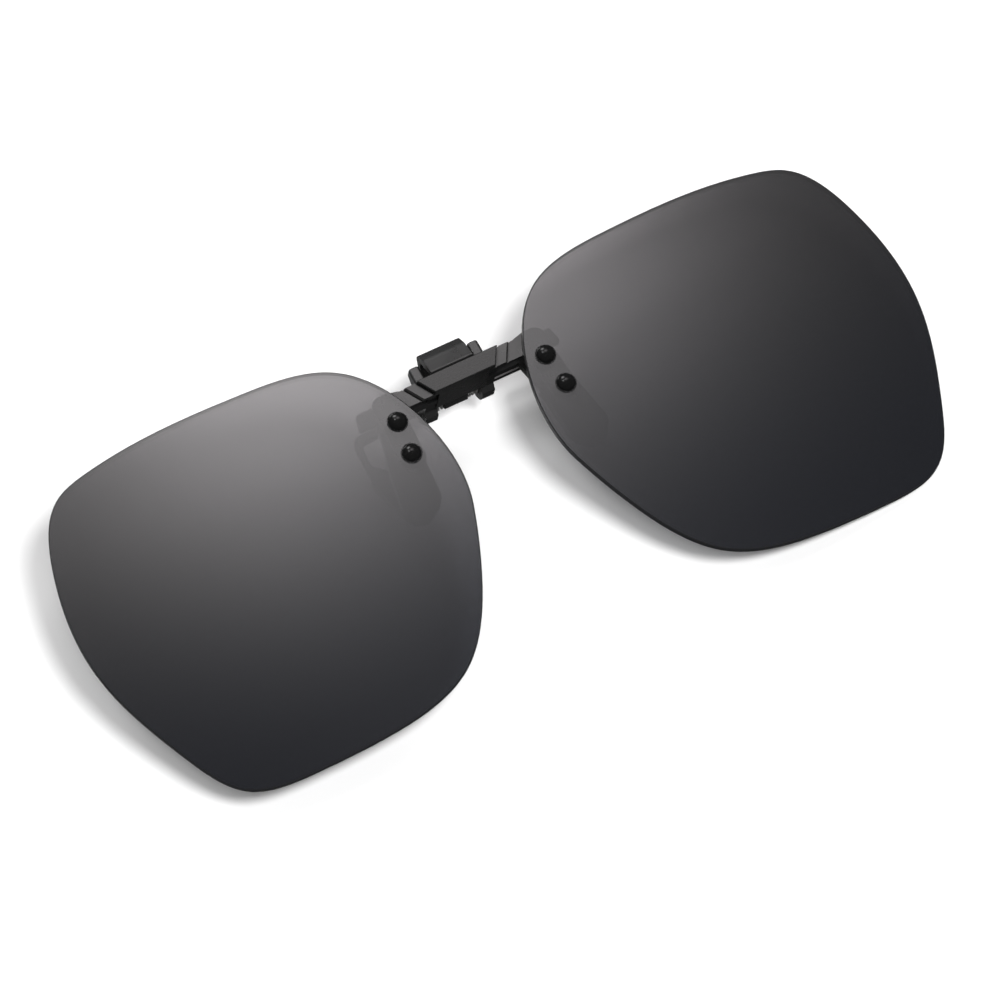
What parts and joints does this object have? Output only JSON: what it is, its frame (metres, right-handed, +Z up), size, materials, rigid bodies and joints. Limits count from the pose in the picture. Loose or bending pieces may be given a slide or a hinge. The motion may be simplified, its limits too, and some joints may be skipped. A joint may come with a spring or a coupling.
{
  "type": "clip-on sunglasses",
  "caption": "Large smoke-tinted clip-on sun lenses riveted to a bridge bar, with a sprung pinch clip of padded legs that grips a pair of spectacles.",
  "frame": {"origin": "in the spectacle slot between the front and rear jaws at the toes, midway between the lenses, at lens mid-height", "axes": "+Z up as worn, +Y towards the wearer's face, so the lens fronts face -Y, and +X towards the wearer's left"},
  "size_m": [0.1478, 0.016, 0.061],
  "materials": {
    "black_plastic": "satin black moulded plastic",
    "black_trim": "smooth semi-gloss black",
    "smoke_lens": "polished grey smoke-tinted lens",
    "soft_pad": "soft matt black sleeve",
    "steel": "bright drawn steel wire and pin",
    "clear_nylon": "translucent clear bush"
  },
  "bodies": {
    "clip": {"front_frame": "black_plastic", "bridge_cover": "black_trim", "clip_body": "black_plastic", "jaw_pin": "steel", "lens_left": "smoke_lens", "lens_right": "smoke_lens", "bridge_screw_left": "steel", "bridge_screw_right": "steel", "front_pad_left": "soft_pad", "front_pad_right": "soft_pad", "torsion_spring_left": "steel", "torsion_spring_right": "steel", "rivet_upper_left": "black_trim", "rivet_sleeve_upper_left": "clear_nylon", "back_washer_upper_left": "black_trim", "rivet_upper_right": "black_trim", "rivet_sleeve_upper_right": "clear_nylon", "back_washer_upper_right": "black_trim", "rivet_lower_left": "black_trim", "rivet_sleeve_lower_left": "clear_nylon", "back_washer_lower_left": "black_trim", "rivet_lower_right": "black_trim", "rivet_sleeve_lower_right": "clear_nylon", "back_washer_lower_right": "black_trim"},
    "rear_jaw": {"rear_jaw": "black_plastic", "rear_pad_left": "soft_pad", "rear_pad_right": "soft_pad"}
  },
  "joints": [
    {"name": "jaw_pivot", "type": "hinge", "parent": "clip", "child": "rear_jaw", "pos_m": [0, 0.0048, 0.0183], "axis": [1, 0, 0], "range_deg": [0, 20], "stiffness_Nm_per_rad": 0.04, "springref_deg": -34.38, "deforming": ["torsion_spring_left", "torsion_spring_right"]}
  ]
}
